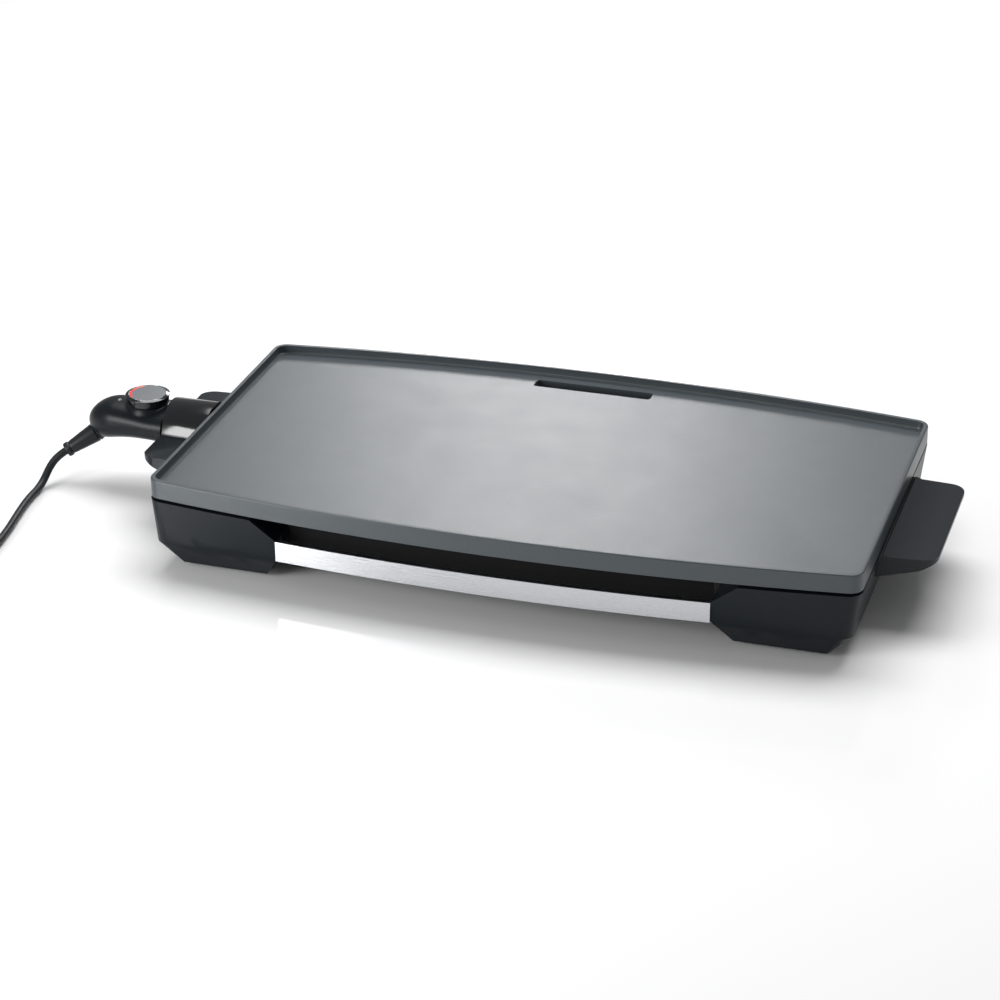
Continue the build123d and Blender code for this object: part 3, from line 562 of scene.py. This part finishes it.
# ---------------------------------------------------------------- feet, tray and shield
# Rubber feet plugged into the frames, an enamelled tray on two folded rails of aluminised sheet, and
# the shield that the rails are riveted to, a dull near black that is painted shade for the front opening.
rubber = Finish("foot_rubber", (0.022, 0.022, 0.024), 0.62)
rubber.use("Roughness", 0.55 + 0.2 * rubber.noise(600.0))
rubber.emboss(rubber.noise(2500.0), 0.05 * MM)
for node in ("foot_left_front", "foot_left_rear", "foot_right_front", "foot_right_rear"):
    dress(frame["nodes"][node], rubber)
enamel = Finish("tray_enamel", (0.016, 0.017, 0.019), 0.24, Coat_Weight=0.3)
enamel.use("Roughness", 0.18 + 0.16 * enamel.noise(120.0, 4.0))
enamel.emboss(enamel.noise(260.0, 3.0), 0.015 * MM)
refined("drip_tray", "fat_tray", enamel, edge=0.5 * MM)
sheet = Finish("aluminised_sheet", (0.58, 0.58, 0.57), 0.44, 1.0)
rolled = sheet.noise(1.0, 4.0, stretch=(60.0, 500.0, 500.0))
sheet.use("Roughness", 0.34 + 0.22 * rolled)
sheet.use("Base Color", sheet.blend(rolled, (0.50, 0.50, 0.49, 1.0), (0.64, 0.64, 0.63, 1.0)))
sheet.emboss(rolled, 0.02 * MM)
for node in ("left_tray_rail", "right_tray_rail", "socket_plate", "thermostat_bracket"):
    dress(frame["nodes"][node], sheet)
# Painted shade: the shield's near-black colour stands in for the shade inside the base, seen through the
# opening above the front strip.
shade_paint = Finish("heat_proof_paint", (0.010, 0.010, 0.011), 0.7, Specular_IOR_Level=0.15)
shade_paint.use("Roughness", 0.6 + 0.2 * shade_paint.noise(500.0))
shade_paint.emboss(shade_paint.noise(1400.0), 0.04 * MM)
dress(frame["nodes"]["heat_shield"], shade_paint)


# ---------------------------------------------------------------- terminals and thermostat
# The tubular element pressed under the plate, its pins and ceramic beads, and the contact block,
# probe and snap switch inside the control.
tube_steel = Finish("element_steel", (0.42, 0.40, 0.37), 0.34, 1.0)
tint = tube_steel.noise(18.0, 3.0)
tube_steel.use("Base Color", tube_steel.blend(tint, (0.50, 0.48, 0.45, 1.0), (0.34, 0.29, 0.24, 1.0)))
tube_steel.use("Roughness", 0.26 + 0.2 * tube_steel.noise(700.0))
for node in ("heating_element", "terminal_pins", "probe_rod"):
    dress(frame["nodes"][node], tube_steel)
ceramic = Finish("steatite", (0.74, 0.70, 0.62), 0.7)
ceramic.use("Roughness", 0.6 + 0.2 * ceramic.noise(800.0))
ceramic.emboss(ceramic.noise(1800.0), 0.06 * MM)
for node in ("terminal_insulators", "stack_insulators"):
    dress(frame["nodes"][node], ceramic)
thermoset = Finish("thermoset", (0.055, 0.045, 0.038), 0.5)
thermoset.use("Roughness", 0.42 + 0.16 * thermoset.noise(900.0))
thermoset.emboss(thermoset.noise(2400.0), 0.04 * MM)
dress(frame["nodes"]["contact_block"], thermoset)
brass = Finish("contact_brass", (0.68, 0.48, 0.20), 0.28, 1.0)
brass.use("Roughness", 0.22 + 0.16 * brass.noise(900.0))
for node in ("contact_sleeves", "switch_blades"):
    dress(frame["nodes"][node], brass)
zinc = Finish("zinc_plate", (0.55, 0.56, 0.58), 0.34, 1.0)
zinc.use("Roughness", 0.26 + 0.2 * zinc.noise(1200.0))
zinc.emboss(zinc.noise(2600.0), 0.01 * MM)
for node in ("plate_screws", "shield_screws", "grip_screws", "trim_screws", "socket_screws", "rail_rivets",
             "control_screws", "knob_spindle"):
    dress(frame["nodes"][node], zinc)


# ---------------------------------------------------------------- pilot lamp
# A neon bulb under a small domed window of clear plastic in the top of the housing.
neon = Finish("neon_bulb", (0.85, 0.42, 0.20), 0.12, Transmission_Weight=0.5)
neon.use("Roughness", 0.08 + 0.1 * neon.noise(500.0))
dress(frame["nodes"]["pilot_lamp"], neon)
window = Finish("lamp_window", (0.22, 0.27, 0.25), 0.12)
window.use("Roughness", 0.08 + 0.12 * window.noise(700.0))
lamp_low, lamp_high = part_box("pilot_lens")
lamp_centre = ((lamp_low + lamp_high) / 2).to_tuple()[:2]
lens_profile = rounded(
    [(lamp_low.z, 0.0), (lamp_low.z, 1.75 * MM), (71.6 * MM, 1.75 * MM), (72.5 * MM, 0.9 * MM),
     (72.7 * MM, 0.0)],
    [0.0, 0.3 * MM, 0.8 * MM])
lamp_window = surface("lamp_window", window, "control", "lamp_lens",
                      turned((*lamp_centre, 0.0), (0, 0, 1), lens_profile, steps=32))
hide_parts("pilot_lens")


# ---------------------------------------------------------------- plug and tie
# Moulded round plug with two nickel pins and side earth contacts, and the strap round the coil.
plug_rubber = Finish("plug_rubber", (0.020, 0.021, 0.023), 0.44)
plug_rubber.use("Roughness", 0.38 + 0.16 * plug_rubber.noise(600.0))
plug_rubber.emboss(plug_rubber.noise(2800.0), 0.04 * MM)
moulded_plug = refined("plug_body", "moulded_plug", plug_rubber, edge=0.5 * MM)
nickel = Finish("nickel_plate", (0.70, 0.68, 0.64), 0.2, 1.0)
nickel.use("Roughness", 0.14 + 0.14 * nickel.noise(1000.0))
for node in ("plug_pins", "plug_earth_clips"):
    dress(frame["nodes"][node], nickel)
strap = Finish("tie_strap", (0.020, 0.020, 0.022), 0.8)
loops = strap.noise(1800.0, 1.0)
strap.use("Base Color", strap.blend(loops, (0.012, 0.012, 0.013, 1.0), (0.05, 0.05, 0.055, 1.0)))
strap.use("Roughness", 0.7 + 0.2 * loops)
strap.emboss(loops, 0.2 * MM)
tie = refined("coil_tie", "coil_strap", strap, edge=0.3 * MM)


# ---------------------------------------------------------------- table top
# White, faintly polished table that the griddle stands on.
table = Finish("table_top", (0.92, 0.92, 0.925), 0.12, Specular_IOR_Level=0.9)
table.use("Roughness", 0.07 + 0.04 * table.noise(6.0))
TABLE_REACH = 6.0
corners = [(x * TABLE_REACH, y * TABLE_REACH, 0.0) for y in (-1, 1) for x in (-1, 1)]
table_mesh = bpy.data.meshes.new("table_top")
table_mesh.from_pydata(corners, [], [(0, 1, 3, 2)])
table_top = bpy.data.objects.new("table_top", table_mesh)
bpy.context.scene.collection.objects.link(table_top)
dress(table_top, table)
